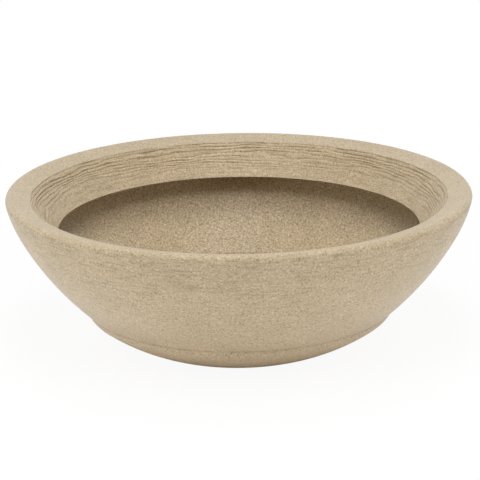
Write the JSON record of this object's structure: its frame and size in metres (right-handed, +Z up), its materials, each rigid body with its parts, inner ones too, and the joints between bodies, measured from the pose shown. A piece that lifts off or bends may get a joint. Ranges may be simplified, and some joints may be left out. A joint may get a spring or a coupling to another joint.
{
  "type": "bowl planter",
  "caption": "Wide shallow bowl planter, a hollow moulded shell with a tilted lip, a combed inward collar with an undercut, a rounded foot and a rubber plug in its drain.",
  "frame": {"origin": "middle of the base, on the surface that the pot stands on", "axes": "+Z up along the pot's axis, towards the mouth; the pot is round, so +X and +Y are any two level directions at right angles"},
  "size_m": [0.6, 0.6, 0.203],
  "materials": {
    "stone_look_plastic": "matt sand-grained polyethylene with dark and light specks",
    "plug_rubber": "matt moulded rubber"
  },
  "bodies": {
    "pot": {"pot_shell": "stone_look_plastic"},
    "plug": {"drain_plug": "plug_rubber"}
  },
  "joints": [
    {"name": "plug_lift", "type": "slide", "parent": "pot", "child": "plug", "axis": [0, 0, 1], "range_m": [0, 0.22]}
  ]
}
